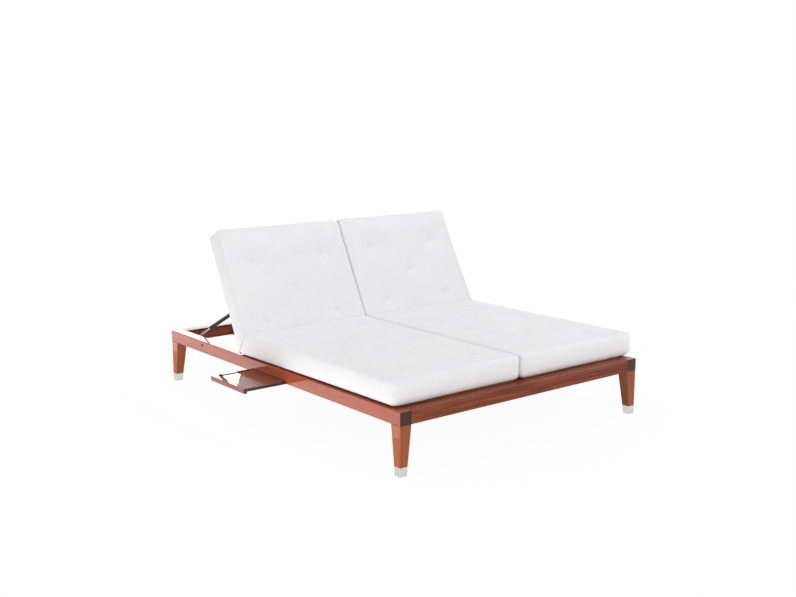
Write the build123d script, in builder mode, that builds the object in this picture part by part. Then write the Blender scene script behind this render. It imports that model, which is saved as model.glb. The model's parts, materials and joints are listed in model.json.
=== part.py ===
from build123d import *
import os
from math import atan2, cos, degrees, hypot, radians, sin, sqrt, tan

# Double chaise lounger: a varnished hardwood frame on four tapered legs with metal
# caps, two backs that recline on gas struts, two pull-out side trays and four cushions.
# Lengths are in mm. +X is to the right seen from the foot end, +Y runs from the foot
# end to the head end, +Z is up. The origin is on the floor under the frame's middle.
# The backs are drawn raised and the trays pulled out.

os.makedirs("parts", exist_ok=True)

# Frame
frame_width = 1520
frame_length = 2050
rail_top = 285
rail_depth = 62
side_rail_width = 62
end_rail_width = 60
beam_width = 60
edge_round = 2.5
overrun = 5

# Legs, their caps and bolts
leg_foot = 42
cap_foot = 39
cap_height = 41
cap_wall = 1.5
cap_floor = 3
cap_fit = 0.15
leg_round = 2
bolt_radius = 5
bolt_grip = 40
bolt_fit = 0.1

# Dowels in the frame's corners and the middle beam
dowel_radius = 6
dowel_in_side_rail = 22
dowel_in_end_rail = 35
dowel_fit = 0.1
dowel_height_shares = (0.3, 0.7)
dowel_beam_share = 0.25

# Deck
slat_proud = 3
slat_thickness = 12
slat_width = 68
slat_count = 13
slat_end_gap = 1
slat_row_gap = 10
slat_round = 3
ledger_depth = 24
ledger_width = 20

# Hinge line of the backs
hinge_share = 0.1454
lean_angle = 63
hinge_rail_width = 46
hinge_rail_gap = 4
pin_radius = 5
pin_running_fit = 0.05
pin_press_fit = 0.02
pin_hold = 14
cheek_gap = 1
cheek_front_gap = 0.5
cheek_length = 90
cheek_floor = 15
cheek_crest = 7
cheek_notch_depth = 20
cheek_notch_share = 0.5
cheek_notch_width = 34
cheek_rear_drop = 5

# Back frames
stile_width = 40
stile_thickness = 28
stile_side_gap = 41
stile_beam_gap = 4
back_end_gap = 17
back_rail_width = 40
back_rail_low = 32
back_slat_thickness = 10
back_slat_width = 52
back_slat_count = 8
rest_block_width = 60
rest_block_depth = 35
rest_block_shares = (0.15, 0.55)
rest_gap = 0.3
rest_ledge_width = 20
rest_ledge_start = 60

# Gas struts
strut_from_rail = 26
strut_head_share = 0.39
strut_foot_from_rear = 30
strut_foot_height = 13
strut_closed_gap = 23
strut_fitting = 24
tube_radius = 10
tube_wall = 2
tube_cap = 6
tube_shoulder = 3
rod_radius = 4
rod_tip_gap = 33
piston_length = 15
piston_fit = 0.08
eye_radius = 9
eye_thickness = 12
stud_radius = 4
stud_fit = 0.05
stud_grip = 36
stud_head_radius = 6
stud_head_height = 4
plate_thickness = 4
plate_length = 56
plate_width = 22
plate_gap = 0.5
plate_round = 4
neck_radius = 4

# Side trays
tray_reach = 232
tray_width = 310
tray_middle_y = 8
tray_thickness = 15
tray_lift = 1
tray_tail = 58
tray_gap = 1
tray_recess = 3
tray_rim = 14
tray_groove_depth = 6
tray_groove_height = 5
tray_groove_floor = 5
fascia_thickness = 18
fascia_drop = 9
fascia_round = 3
slot_headroom = 1.5
stop_width = 18
stop_height = 9.5
runner_width = 20
runner_floor = 2
runner_gap = 0.6
tongue_gap = 0.4

# Plugs over the side rails' bolts
plug_radius = 9
plug_depth = 8
plug_proud = 1
plug_y = 676
plug_drop = 22
plug_fit = 0.1

# Cushions
cushion_overhang = 60
cushion_middle_gap = 5
cushion_thickness = 117
cushion_crown_across = 11
cushion_crown_along = 7
cushion_draw = 8
cushion_corner = 36
cushion_top_round = 16
cushion_floor_round = 15
cushion_seat_gap = 0.3
cushion_crease_gap = 1
tuft_radius = 44
tuft_depth = 13
tuft_heart = 3
tuft_lip = 1.5
tuft_offset_share = 0.279
seat_tuft_first_share = 0.107
seat_tuft_pitch_share = 0.174
seat_tuft_rows = 5
back_tuft_first_share = 0.274
back_tuft_pitch_share = 0.24
back_tuft_rows = 3

# Worked out from the sizes above: frame
half_width = frame_width / 2
half_length = frame_length / 2
rail_bottom = rail_top - rail_depth
inner_x = half_width - side_rail_width
inner_y = half_length - end_rail_width
beam_half = beam_width / 2
leg_middle_x = half_width - side_rail_width / 2
leg_middle_y = half_length - side_rail_width / 2
dowel_y = half_length - end_rail_width / 2
dowel_heights = [rail_bottom + rail_depth * share for share in dowel_height_shares]
dowel_places = [(end * dowel_y, height) for end in (-1, 1) for height in dowel_heights]
beam_dowel_x = beam_width * dowel_beam_share
beam_dowel_z = rail_bottom + rail_depth / 2
slat_top = rail_top + slat_proud
ledger_top = slat_top - slat_thickness

# Worked out: hinge line and back frames
hinge_y = frame_length * hinge_share
well_length = inner_y - hinge_y
back_frame_length = well_length - back_end_gap
stile_half = stile_thickness / 2
hinge_z = slat_top - back_slat_thickness - stile_half
hinge_rail_rear = hinge_y - stile_half - hinge_rail_gap
hinge_rail_front = hinge_rail_rear - hinge_rail_width
stile_outer_x = inner_x - stile_side_gap
stile_inner_x = beam_half + stile_beam_gap
cheek_inner_x = stile_outer_x + cheek_gap
lean_sin = sin(radians(lean_angle))
lean_cos = cos(radians(lean_angle))

# Worked out: gas struts
strut_x = inner_x - strut_from_rail
strut_head_along = well_length * strut_head_share
strut_foot_y = inner_y - strut_foot_from_rear
strut_foot_z = rail_bottom + strut_foot_height
strut_head_y = hinge_y + strut_head_along * lean_cos
strut_head_z = hinge_z + strut_head_along * lean_sin
strut_length = hypot(strut_foot_y - strut_head_y, strut_head_z - strut_foot_z)
strut_closed = hypot(strut_foot_y - hinge_y - strut_head_along, hinge_z - strut_foot_z)
tube_reach = strut_closed - strut_closed_gap
rod_length = strut_closed - strut_fitting - rod_tip_gap
bore_radius = tube_radius - tube_wall
strut_up = (0, (strut_head_y - strut_foot_y) / strut_length, (strut_head_z - strut_foot_z) / strut_length)

# Worked out: trays and cushions
tray_bottom = rail_bottom - tray_lift
tray_top = tray_bottom + tray_thickness
slot_height = tray_top - rail_bottom + slot_headroom
crease_angle = lean_angle / 2
crease_slip = cushion_crease_gap / 2 / cos(radians(crease_angle))
cushion_floor = slat_top + cushion_seat_gap - hinge_z
cushion_width = inner_x + cushion_overhang - cushion_middle_gap
cushion_middle_x = (inner_x + cushion_overhang + cushion_middle_gap) / 2
seat_cushion_length = hinge_y + inner_y
tuft_offset = cushion_width * tuft_offset_share

sides = {"left": -1, "right": 1}
ends = {"front": -1, "rear": 1}


def keep(piece, name):
    """Label a finished piece and write its file."""
    piece.part.label = name
    export_step(piece.part, f"parts/{name}.step")


def board(x_faces, y_faces, z_faces, grain, ease=edge_round):
    """A planed board between the given faces, its edges along the grain eased."""
    low_x, high_x = sorted(x_faces)
    low_y, high_y = sorted(y_faces)
    low_z, high_z = sorted(z_faces)
    with BuildPart() as timber:
        with BuildSketch(Plane.XY.offset(low_z)):
            with Locations(((low_x + high_x) / 2, (low_y + high_y) / 2)):
                Rectangle(high_x - low_x, high_y - low_y)
        extrude(amount=high_z - low_z)
        fillet(timber.edges().filter_by(grain), ease)
    return timber


def leaning():
    """Plane of the raised back: X across, Y up the back, Z out of its slats."""
    return Plane(origin=(0, hinge_y, hinge_z), x_dir=(1, 0, 0), z_dir=(0, -lean_sin, lean_cos))


def back_side(x):
    """Side view plane of the raised back: X up the back, Y out of its slats."""
    return Plane(origin=(x, hinge_y, hinge_z), x_dir=(0, lean_cos, lean_sin), z_dir=(1, 0, 0))


def seat_side(x):
    """Side view plane of the seat, measured from the hinge towards the foot end."""
    return Plane(origin=(x, hinge_y, hinge_z), x_dir=(0, -1, 0), z_dir=(-1, 0, 0))


# Timber frame


def side_rail(side):
    middle_x = side * (half_width - side_rail_width / 2)
    rail = board(
        (side * inner_x, side * half_width), (-half_length, half_length), (rail_bottom, rail_top), Axis.Y
    )
    with BuildPart(mode=Mode.PRIVATE) as cut:
        with BuildSketch(Plane.XY.offset(rail_bottom - overrun)):
            with Locations((middle_x, tray_middle_y)):
                Rectangle(side_rail_width + 2 * overrun, tray_width + 2 * tray_gap)
        extrude(amount=slot_height + overrun)
        with BuildSketch(Plane.XY.offset(rail_bottom - overrun)):
            with Locations(*[(side * leg_middle_x, end * leg_middle_y) for end in ends.values()]):
                Circle(bolt_radius + bolt_fit)
        extrude(amount=bolt_grip + overrun)
        with BuildSketch(Plane.YZ.offset(side * (inner_x - overrun))):
            with Locations(*dowel_places):
                Circle(dowel_radius + dowel_fit)
        extrude(amount=side * (dowel_in_side_rail + overrun))
        with BuildSketch(Plane.YZ.offset(side * (half_width - plug_depth))):
            with Locations((plug_y, rail_top - plug_drop)):
                Circle(plug_radius + plug_fit)
        extrude(amount=side * (plug_depth + overrun))
        with BuildSketch(Plane.YZ.offset(side * (inner_x - overrun))):
            with Locations((strut_foot_y, strut_foot_z)):
                Circle(stud_radius + bolt_fit)
        extrude(amount=side * (stud_grip + overrun))
    with BuildPart() as finished:
        add(rail.part)
        add(cut.part, mode=Mode.SUBTRACT)
    return finished


def end_rail(end):
    inner_face = end * inner_y
    rail = board((-inner_x, inner_x), (inner_face, end * half_length), (rail_bottom, rail_top), Axis.X)
    with BuildPart() as finished:
        add(rail.part)
        for side in sides.values():
            with BuildSketch(Plane.YZ.offset(side * (inner_x + overrun))):
                with Locations(*[(end * dowel_y, height) for height in dowel_heights]):
                    Circle(dowel_radius + dowel_fit)
            extrude(amount=-side * (dowel_in_end_rail + overrun), mode=Mode.SUBTRACT)
        with BuildSketch(Plane.XZ.offset(-inner_face)):
            with Locations(*[(side * beam_dowel_x, beam_dowel_z) for side in sides.values()]):
                Circle(dowel_radius + dowel_fit)
        extrude(amount=-end * dowel_in_end_rail, mode=Mode.SUBTRACT)
    return finished


def middle_beam():
    beam = board((-beam_half, beam_half), (-inner_y, inner_y), (rail_bottom, rail_top), Axis.Y)
    with BuildPart() as finished:
        add(beam.part)
        for end in ends.values():
            with BuildSketch(Plane.XZ.offset(-end * (inner_y + overrun))):
                with Locations(*[(side * beam_dowel_x, beam_dowel_z) for side in sides.values()]):
                    Circle(dowel_radius + dowel_fit)
            extrude(amount=end * (dowel_in_end_rail + overrun), mode=Mode.SUBTRACT)
        for side in sides.values():
            with BuildSketch(Plane.YZ.offset(side * (beam_half + overrun))):
                with Locations((hinge_y, hinge_z)):
                    Circle(pin_radius + pin_press_fit)
            extrude(amount=-side * (pin_hold + overrun), mode=Mode.SUBTRACT)
    return finished


def rail_dowels():
    with BuildPart() as dowels:
        for side in sides.values():
            with BuildSketch(Plane.YZ.offset(side * (inner_x + dowel_in_side_rail))):
                with Locations(*dowel_places):
                    Circle(dowel_radius)
            extrude(amount=-side * (dowel_in_side_rail + dowel_in_end_rail))
        for end in ends.values():
            with BuildSketch(Plane.XZ.offset(-end * (inner_y + dowel_in_end_rail))):
                with Locations(*[(side * beam_dowel_x, beam_dowel_z) for side in sides.values()]):
                    Circle(dowel_radius)
            extrude(amount=end * 2 * dowel_in_end_rail)
    return dowels


# Legs and their caps


def cap_size(height):
    """Outer side of the leg's square section at a height inside the cap."""
    return cap_foot + (leg_foot - cap_foot) * height / cap_height


def corner_square(side, end, height, size, inset=0):
    """A square section flush with the frame's corner, drawn in evenly by an inset."""
    with BuildSketch(Plane.XY.offset(height)) as section:
        with Locations((side * (half_width - size / 2), end * (half_length - size / 2))):
            Rectangle(size - 2 * inset, size - 2 * inset)
    return section.sketch


def leg(side, end):
    tenon_inset = cap_wall + cap_fit
    with BuildPart() as post:
        loft(
            sections=[
                corner_square(side, end, cap_height, leg_foot),
                corner_square(side, end, rail_bottom, side_rail_width),
            ]
        )
        standing = post.edges().filter_by(lambda edge: edge.bounding_box().size.Z > cap_height)
        fillet(standing, leg_round)
        loft(
            sections=[
                corner_square(side, end, cap_floor, cap_size(cap_floor), tenon_inset),
                corner_square(side, end, cap_height, cap_size(cap_height), tenon_inset),
            ]
        )
        with BuildSketch(Plane.XY.offset(rail_bottom)):
            with Locations((side * leg_middle_x, end * leg_middle_y)):
                Circle(bolt_radius + bolt_fit)
        extrude(amount=-bolt_grip, mode=Mode.SUBTRACT)
    return post


def leg_cap(side, end):
    with BuildPart() as cap:
        loft(
            sections=[
                corner_square(side, end, 0, cap_foot),
                corner_square(side, end, cap_height, leg_foot),
            ]
        )
        standing = cap.edges().filter_by(lambda edge: edge.bounding_box().size.Z > cap_height / 2)
        fillet(standing, leg_round)
        loft(
            sections=[
                corner_square(side, end, cap_floor, cap_size(cap_floor), cap_wall),
                corner_square(side, end, cap_height, cap_size(cap_height), cap_wall),
            ],
            mode=Mode.SUBTRACT,
        )
    return cap


def leg_bolts():
    along = [end * leg_middle_y for end in ends.values()]
    corners = [(side * leg_middle_x, place) for side in sides.values() for place in along]
    with BuildPart() as bolts:
        with BuildSketch(Plane.XY.offset(rail_bottom - bolt_grip)):
            with Locations(*corners):
                Circle(bolt_radius)
        extrude(amount=2 * bolt_grip)
    return bolts


# Deck under the seat


def outer_ledger(side):
    faces = (side * inner_x, side * (inner_x - ledger_width))
    return board(faces, (-inner_y, hinge_rail_front), (ledger_top - ledger_depth, ledger_top), Axis.Y)


def inner_ledger(side):
    faces = (side * beam_half, side * (beam_half + ledger_width))
    return board(faces, (-inner_y, hinge_rail_front), (ledger_top - ledger_depth, ledger_top), Axis.Y)


def hinge_rail(side):
    faces = (side * beam_half, side * inner_x)
    return board(faces, (hinge_rail_front, hinge_rail_rear), (rail_bottom, rail_top), Axis.X)


def seat_slats(side):
    first = -inner_y + slat_row_gap + slat_width / 2
    last = hinge_rail_front - slat_row_gap - slat_width / 2
    pitch = (last - first) / (slat_count - 1)
    length = inner_x - beam_half - 2 * slat_end_gap
    with BuildPart() as slats:
        with BuildSketch(Plane.XY.offset(ledger_top)):
            with Locations((side * (inner_x + beam_half) / 2, (first + last) / 2)):
                with GridLocations(0, pitch, 1, slat_count):
                    Rectangle(length, slat_width)
        extrude(amount=slat_thickness)
        upper = slats.edges().filter_by(Axis.X).group_by(Axis.Z)[-1]
        fillet(upper, slat_round)
    return slats


# Hinge of each back: a timber cheek on the side rail, the middle beam and two pins


def hinge_cheek(side):
    front = hinge_rail_rear + cheek_front_gap
    rear = front + cheek_length
    crest = rail_top + cheek_crest
    notch_y = front + cheek_length * cheek_notch_share
    with BuildPart() as cheek:
        with BuildSketch(Plane.YZ.offset(side * inner_x)):
            with BuildLine():
                Polyline(
                    (front, rail_bottom + cheek_floor),
                    (rear, rail_bottom + cheek_floor),
                    (rear, crest - cheek_rear_drop),
                    (notch_y + cheek_notch_width / 2, crest - cheek_rear_drop),
                    (notch_y, crest - cheek_notch_depth),
                    (notch_y - cheek_notch_width / 2, crest),
                    (front, crest),
                    close=True,
                )
            make_face()
        extrude(amount=-side * (inner_x - cheek_inner_x))
        upright = cheek.edges().filter_by(Axis.X)
        fillet(upright, edge_round)
        with BuildSketch(Plane.YZ.offset(side * (cheek_inner_x - overrun))):
            with Locations((hinge_y, hinge_z)):
                Circle(pin_radius + pin_press_fit)
        extrude(amount=side * (overrun + inner_x - cheek_inner_x - pin_hold), mode=Mode.SUBTRACT)
    return cheek


def hinge_pins(side):
    with BuildPart() as pins:
        with BuildSketch(Plane.YZ.offset(side * (inner_x - pin_hold))):
            with Locations((hinge_y, hinge_z)):
                Circle(pin_radius)
        extrude(amount=-side * (inner_x - pin_hold - stile_outer_x + stile_width))
        with BuildSketch(Plane.YZ.offset(side * (beam_half - pin_hold))):
            with Locations((hinge_y, hinge_z)):
                Circle(pin_radius)
        extrude(amount=side * (stile_inner_x + stile_width - beam_half + pin_hold))
    return pins


# Back frames, drawn on the leaning plane


def back_stiles(side):
    starts = (stile_inner_x, stile_outer_x - stile_width)
    with BuildPart() as stiles:
        for start in starts:
            low = min(side * start, side * (start + stile_width))
            with BuildSketch(back_side(low)):
                with BuildLine():
                    Line((0, -stile_half), (back_frame_length, -stile_half))
                    Line((back_frame_length, -stile_half), (back_frame_length, stile_half))
                    Line((back_frame_length, stile_half), (0, stile_half))
                    ThreePointArc((0, stile_half), (-stile_half, 0), (0, -stile_half))
                make_face()
                Circle(pin_radius + pin_running_fit, mode=Mode.SUBTRACT)
            extrude(amount=stile_width)
        corners = stiles.edges().filter_by(lambda edge: edge.length > back_frame_length - stile_half)
        fillet(corners, edge_round)
    return stiles


def back_rails(side):
    length = stile_outer_x - stile_inner_x - 2 * stile_width
    middle = side * (stile_outer_x + stile_inner_x) / 2
    low = back_rail_low + back_rail_width / 2
    high = back_frame_length - back_rail_width / 2
    with BuildPart() as rails:
        with BuildSketch(leaning().offset(-stile_half)):
            with Locations((middle, low), (middle, high)):
                Rectangle(length, back_rail_width)
        extrude(amount=stile_thickness)
        fillet(rails.edges().filter_by(Axis.X), edge_round)
    return rails


def back_slats(side):
    length = stile_outer_x - stile_inner_x
    middle = side * (stile_outer_x + stile_inner_x) / 2
    first = back_rail_low + back_slat_width / 2
    last = back_frame_length - back_slat_width / 2
    pitch = (last - first) / (back_slat_count - 1)
    with BuildPart() as slats:
        with BuildSketch(leaning().offset(stile_half)):
            with Locations((middle, (first + last) / 2)):
                with GridLocations(0, pitch, 1, back_slat_count):
                    Rectangle(length, back_slat_width)
        extrude(amount=back_slat_thickness)
        facing = slats.faces().filter_by(leaning()).filter_by(
            lambda face: leaning().to_local_coords(face.center()).Z > stile_half + back_slat_thickness / 2
        )
        fillet(facing.edges().filter_by(Axis.X), slat_round)
    return slats


def back_ledge(side):
    """Ledge on the middle beam under the inner stile of the laid-down back."""
    faces = (side * beam_half, side * (beam_half + rest_ledge_width))
    heights = (rail_bottom, hinge_z - stile_half - rest_gap)
    return board(faces, (hinge_y + rest_ledge_start, inner_y), heights, Axis.Y)


def rest_blocks():
    """Blocks on the rear rail under the top ends of the laid-down backs."""
    span = stile_outer_x - stile_inner_x
    along = [stile_inner_x + span * share for share in rest_block_shares]
    places = [side * place for side in sides.values() for place in along]
    with BuildPart() as blocks:
        with BuildSketch(Plane.XY.offset(rail_bottom)):
            with Locations(*[(place, inner_y - rest_block_depth / 2) for place in places]):
                Rectangle(rest_block_width, rest_block_depth)
        extrude(amount=hinge_z - stile_half - rest_gap - rail_bottom)
        front = blocks.faces().filter_by(Axis.Y).group_by(Axis.Y)[0]
        fillet(front.edges().filter_by(Axis.X), edge_round)
    return blocks


# Gas struts, in the gap between side rail and back frame


def strut_plane(side):
    """Plane through the strut's line: X from foot to head, Y across it, Z along X of the frame."""
    return Plane(origin=(side * strut_x, strut_foot_y, strut_foot_z), x_dir=strut_up, z_dir=(1, 0, 0))


def strut_rod(side):
    """Piston rod with its foot eye, and its piston inside the tube."""
    plane = strut_plane(side)
    with BuildPart() as rod:
        with BuildSketch(plane):
            with BuildLine():
                Polyline(
                    (eye_radius / 2, 0),
                    (eye_radius / 2, rod_radius),
                    (rod_length - piston_length, rod_radius),
                    (rod_length - piston_length, bore_radius - piston_fit),
                    (rod_length, bore_radius - piston_fit),
                    (rod_length, 0),
                    close=True,
                )
            make_face()
        revolve(axis=Axis(plane.origin, plane.x_dir))
        with BuildSketch(plane.offset(-eye_thickness / 2)):
            Circle(eye_radius)
        extrude(amount=eye_thickness)
        with BuildSketch(plane.offset(-eye_thickness / 2 - overrun)):
            Circle(stud_radius + stud_fit)
        extrude(amount=eye_thickness + 2 * overrun, mode=Mode.SUBTRACT)
    return rod


def strut_cylinder(side):
    """Pressure tube, closed at its head, with the head eye and its stud."""
    plane = strut_plane(side)
    mouth = strut_length - tube_reach
    closed_end = strut_length - strut_fitting
    with BuildPart() as tube:
        with BuildSketch(plane):
            with BuildLine():
                Polyline(
                    (mouth, rod_radius + stud_fit),
                    (mouth, tube_radius - tube_shoulder),
                    (mouth + tube_shoulder, tube_radius),
                    (closed_end - tube_shoulder, tube_radius),
                    (closed_end, tube_radius - tube_shoulder),
                    (closed_end, neck_radius),
                    (strut_length - eye_radius / 2, neck_radius),
                    (strut_length - eye_radius / 2, 0),
                    (closed_end - tube_cap, 0),
                    (closed_end - tube_cap, bore_radius),
                    (mouth + tube_cap, bore_radius),
                    (mouth + tube_cap, rod_radius + stud_fit),
                    close=True,
                )
            make_face()
        revolve(axis=Axis(plane.origin, plane.x_dir))
        with BuildSketch(plane.offset(-eye_thickness / 2)):
            with Locations((strut_length, 0)):
                Circle(eye_radius)
        extrude(amount=eye_thickness)
        with BuildSketch(plane.offset(-side * eye_thickness / 2)):
            with Locations((strut_length, 0)):
                Circle(stud_radius)
        extrude(amount=-side * (strut_x - eye_thickness / 2 - stile_outer_x - plate_thickness - plate_gap))
    return tube


def strut_foot(side):
    """Plate and stud on the side rail that carry the strut's foot."""
    plate_face = side * (inner_x - plate_thickness)
    stud_end = strut_x - eye_thickness / 2 - plate_gap
    with BuildPart() as bracket:
        with BuildSketch(Plane.YZ.offset(side * inner_x)) as outline:
            with Locations((strut_foot_y - plate_length / 2 + plate_width / 2, strut_foot_z + plate_gap)):
                Rectangle(plate_length, plate_width)
            fillet(outline.vertices(), plate_round)
        extrude(amount=-side * plate_thickness)
        with BuildSketch(Plane.YZ.offset(plate_face)):
            with Locations((strut_foot_y, strut_foot_z)):
                Circle(stud_radius)
        extrude(amount=-side * (inner_x - plate_thickness - stud_end))
        with BuildSketch(Plane.YZ.offset(side * stud_end)):
            with Locations((strut_foot_y, strut_foot_z)):
                Circle(stud_head_radius)
        extrude(amount=-side * stud_head_height)
        with BuildSketch(Plane.YZ.offset(side * inner_x)):
            with Locations((strut_foot_y, strut_foot_z)):
                Circle(stud_radius)
        extrude(amount=side * stud_grip)
    return bracket


def strut_head_plate(side):
    """Plate on the back's outer stile that the strut's head stud meets."""
    with BuildPart() as plate:
        with BuildSketch(back_side(side * stile_outer_x)) as outline:
            with Locations((strut_head_along, 0)):
                Rectangle(plate_length, plate_width)
            fillet(outline.vertices(), plate_round)
        extrude(amount=side * plate_thickness)
    return plate


# Side trays


def tray_panel(side):
    """Tray board with a shallow recess on top and a groove along each side edge."""
    outer = half_width + tray_reach - fascia_thickness
    tail = inner_x - tray_tail
    length = outer - tail
    middle = side * (outer + tail) / 2
    recess_start = half_width + tray_rim
    recess_end = outer - tray_rim
    with BuildPart() as panel:
        with BuildSketch(Plane.XY.offset(tray_bottom)):
            with Locations((middle, tray_middle_y)):
                Rectangle(length, tray_width)
        extrude(amount=tray_thickness)
        with BuildSketch(Plane.XY.offset(tray_top - tray_recess)):
            with Locations((side * (recess_start + recess_end) / 2, tray_middle_y)):
                RectangleRounded(recess_end - recess_start, tray_width - 2 * tray_rim, tray_rim / 2)
        extrude(amount=tray_recess + overrun, mode=Mode.SUBTRACT)
        with BuildSketch(Plane.XY.offset(tray_bottom + tray_groove_floor)):
            for end in ends.values():
                with Locations((middle, tray_middle_y + end * tray_width / 2)):
                    Rectangle(length + 2 * overrun, 2 * tray_groove_depth)
        extrude(amount=tray_groove_height, mode=Mode.SUBTRACT)
    return panel


def tray_fascia(side):
    """Outer edge of the tray, deeper than the board so that it can be gripped below."""
    outer = half_width + tray_reach
    faces = (side * (outer - fascia_thickness), side * outer)
    widths = (tray_middle_y - tray_width / 2, tray_middle_y + tray_width / 2)
    return board(faces, widths, (tray_bottom - fascia_drop, tray_top), Axis.Y, fascia_round)


def tray_stop(side):
    """Batten on the tray's tail that meets the side rail when the tray is fully out."""
    faces = (side * (inner_x - rest_gap), side * (inner_x - rest_gap - stop_width))
    widths = (tray_middle_y - tray_width / 2 + tray_rim, tray_middle_y + tray_width / 2 - tray_rim)
    return board(faces, widths, (tray_top, tray_top + stop_height), Axis.Y, edge_round)


def tray_runners(side):
    """Two runners whose tongues carry the tray by its grooves."""
    start = beam_half
    length = inner_x - start
    middle = side * (inner_x + start) / 2
    tongue_floor = tray_bottom + tray_groove_floor + tongue_gap
    tongue_height = tray_groove_height - 2 * tongue_gap
    tongue_reach = tray_groove_depth - tongue_gap
    with BuildPart() as runners:
        for end in ends.values():
            face = tray_middle_y + end * (tray_width / 2 + runner_gap)
            with BuildSketch(Plane.XY.offset(rail_bottom + runner_floor)):
                with Locations((middle, face + end * runner_width / 2)):
                    Rectangle(length, runner_width)
            extrude(amount=ledger_top - ledger_depth - rail_bottom - runner_floor)
            with BuildSketch(Plane.XY.offset(tongue_floor)):
                with Locations((middle, face - end * (tongue_reach - runner_gap) / 2)):
                    Rectangle(length, tongue_reach + runner_gap)
            extrude(amount=tongue_height)
    return runners


def rail_plugs():
    """Timber plugs over the bolts in the side rails' outer faces."""
    with BuildPart() as plugs:
        for side in sides.values():
            with BuildSketch(Plane.YZ.offset(side * (half_width - plug_depth))):
                with Locations((plug_y, rail_top - plug_drop)):
                    Circle(plug_radius)
            extrude(amount=side * (plug_depth + plug_proud))
    return plugs


# Cushions. Seat and back cushions meet on the plane that halves the angle between them.


def arc_radius(half_chord, rise):
    """Radius of the arc that rises by the given height over a half chord."""
    return (half_chord**2 + rise**2) / (2 * rise)


def tuft_places(length, first_share, pitch_share, rows):
    """Across and along places of the tufts: two and one by turns, row by row."""
    places = []
    for row in range(rows):
        across = (-tuft_offset, tuft_offset) if row % 2 == 0 else (0,)
        places += [(shift, length * (first_share + pitch_share * row)) for shift in across]
    return places


def tuft_dimple(plane):
    """The hollow that a sewn tuft draws into a cushion, on a plane that touches its top."""
    with BuildPart(mode=Mode.PRIVATE) as dimple:
        with BuildSketch(Plane(origin=plane.origin, x_dir=plane.x_dir, z_dir=-plane.y_dir)):
            with BuildLine():
                Polyline(
                    (tuft_radius, tuft_lip),
                    (tuft_radius, overrun),
                    (0, overrun),
                    (0, -tuft_depth),
                    (tuft_heart, -tuft_depth),
                )
                TangentArc((tuft_radius, tuft_lip), (tuft_heart, -tuft_depth), tangent=(-1, 0))
            make_face()
        revolve(axis=Axis(plane.origin, plane.z_dir))
    return dimple.part


def cushion(side_plane, length, places):
    """A crowned cushion on a side view plane whose X runs along it and Y up through it."""
    half = cushion_width / 2
    half_along = length / 2
    crest = cushion_floor + cushion_thickness + cushion_crown_across
    across_radius = arc_radius(half, cushion_crown_across)
    along_radius = arc_radius(half_along, cushion_crown_along)
    swing = degrees(atan2(half_along + cushion_thickness, along_radius - cushion_crown_along))
    centre = side_plane.from_local_coords((half_along, crest - along_radius, 0))
    start = Vector(-sin(radians(swing)), cos(radians(swing)), 0)
    radial = side_plane.from_local_coords(start) - side_plane.origin
    section_plane = Plane(origin=centre, x_dir=side_plane.z_dir, z_dir=side_plane.z_dir.cross(radial))
    plan_plane = Plane(
        origin=side_plane.from_local_coords((0, cushion_floor, 0)),
        x_dir=side_plane.z_dir,
        z_dir=side_plane.y_dir,
    )
    height = cushion_thickness + cushion_crown_across + overrun
    side_low = along_radius - cushion_crown_across
    deep = along_radius - cushion_thickness - 2 * cushion_crown_across - 2 * cushion_crown_along
    slope = tan(radians(crease_angle))
    with BuildPart() as pad:
        with BuildSketch(section_plane):
            with BuildLine():
                Line((-half, side_low), (-half, deep))
                Line((-half, deep), (half, deep))
                Line((half, deep), (half, side_low))
                ThreePointArc((half, side_low), (0, along_radius), (-half, side_low))
            make_face()
        revolve(axis=Axis(centre, -side_plane.z_dir), revolution_arc=2 * swing)
        with BuildSketch(plan_plane) as outline:
            with BuildLine():
                ThreePointArc((-half, 0), (cushion_draw - half, half_along), (-half, length))
                Line((-half, length), (half, length))
                ThreePointArc((half, length), (half - cushion_draw, half_along), (half, 0))
                Line((half, 0), (-half, 0))
            make_face()
            fillet(outline.vertices().group_by(Axis.Y)[-1], cushion_corner)
        extrude(amount=height, mode=Mode.INTERSECT)
        with BuildSketch(side_plane.offset(-half - overrun)):
            with BuildLine():
                Polyline(
                    (crease_slip + slope * cushion_floor, cushion_floor),
                    (length, cushion_floor),
                    (length, cushion_floor + height),
                    (crease_slip + slope * (cushion_floor + height), cushion_floor + height),
                    close=True,
                )
            make_face()
        extrude(amount=2 * half + 2 * overrun, mode=Mode.INTERSECT)
        crown = pad.faces().sort_by(Axis(centre, side_plane.y_dir))[-1]
        fillet(crown.edges(), cushion_top_round)
        fillet(pad.faces().filter_by(plan_plane)[0].edges(), cushion_floor_round)
        dimples = []
        for across, along in places:
            drop = across_radius - sqrt(across_radius**2 - across**2)
            drop += along_radius - sqrt(along_radius**2 - (along - half_along) ** 2)
            heart = side_plane.from_local_coords((along, crest - drop, across))
            dimples.append(tuft_dimple(Plane(origin=heart, x_dir=side_plane.z_dir, z_dir=side_plane.y_dir)))
        add(dimples, mode=Mode.SUBTRACT)
    return pad


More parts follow.
